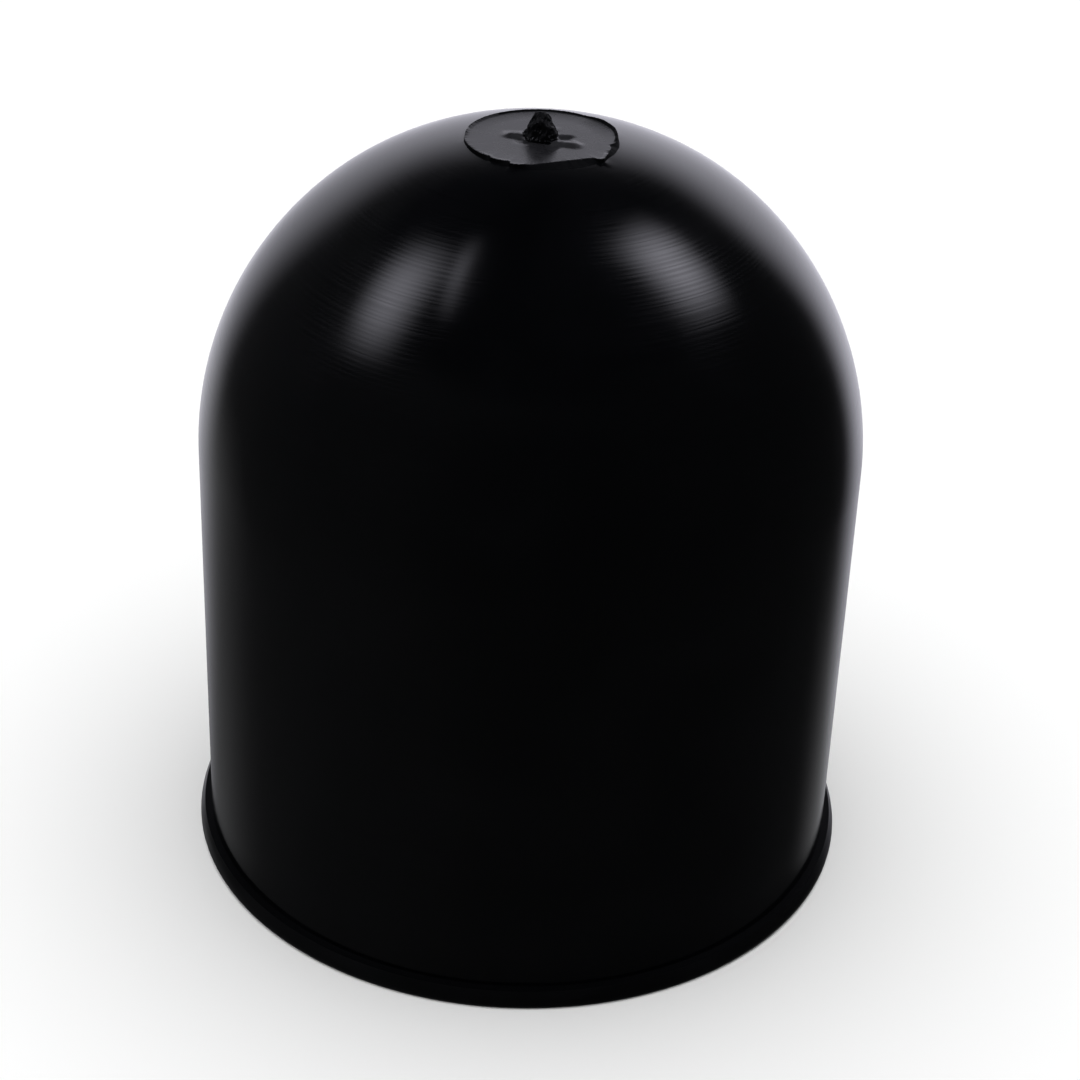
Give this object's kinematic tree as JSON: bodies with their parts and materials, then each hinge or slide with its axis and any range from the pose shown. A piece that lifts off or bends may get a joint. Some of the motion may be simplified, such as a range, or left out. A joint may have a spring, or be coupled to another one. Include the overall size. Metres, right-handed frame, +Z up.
{
  "type": "tow ball cover",
  "caption": "Hollow domed cap with a straight skirt and a low flange round its mouth, dropped over a towing ball to keep dirt off and grease in.",
  "frame": {"origin": "on the axis, in the plane of the open mouth that the cover stands on", "axes": "+Z up along the axis towards the crown; -Y faces the broken edge of the gate disc"},
  "size_m": [0.0572, 0.0572, 0.0661],
  "materials": {
    "black_pvc": "satin gloss black, as moulded"
  },
  "bodies": {
    "root": {"tow_ball_cover": "black_pvc"}
  },
  "joints": []
}
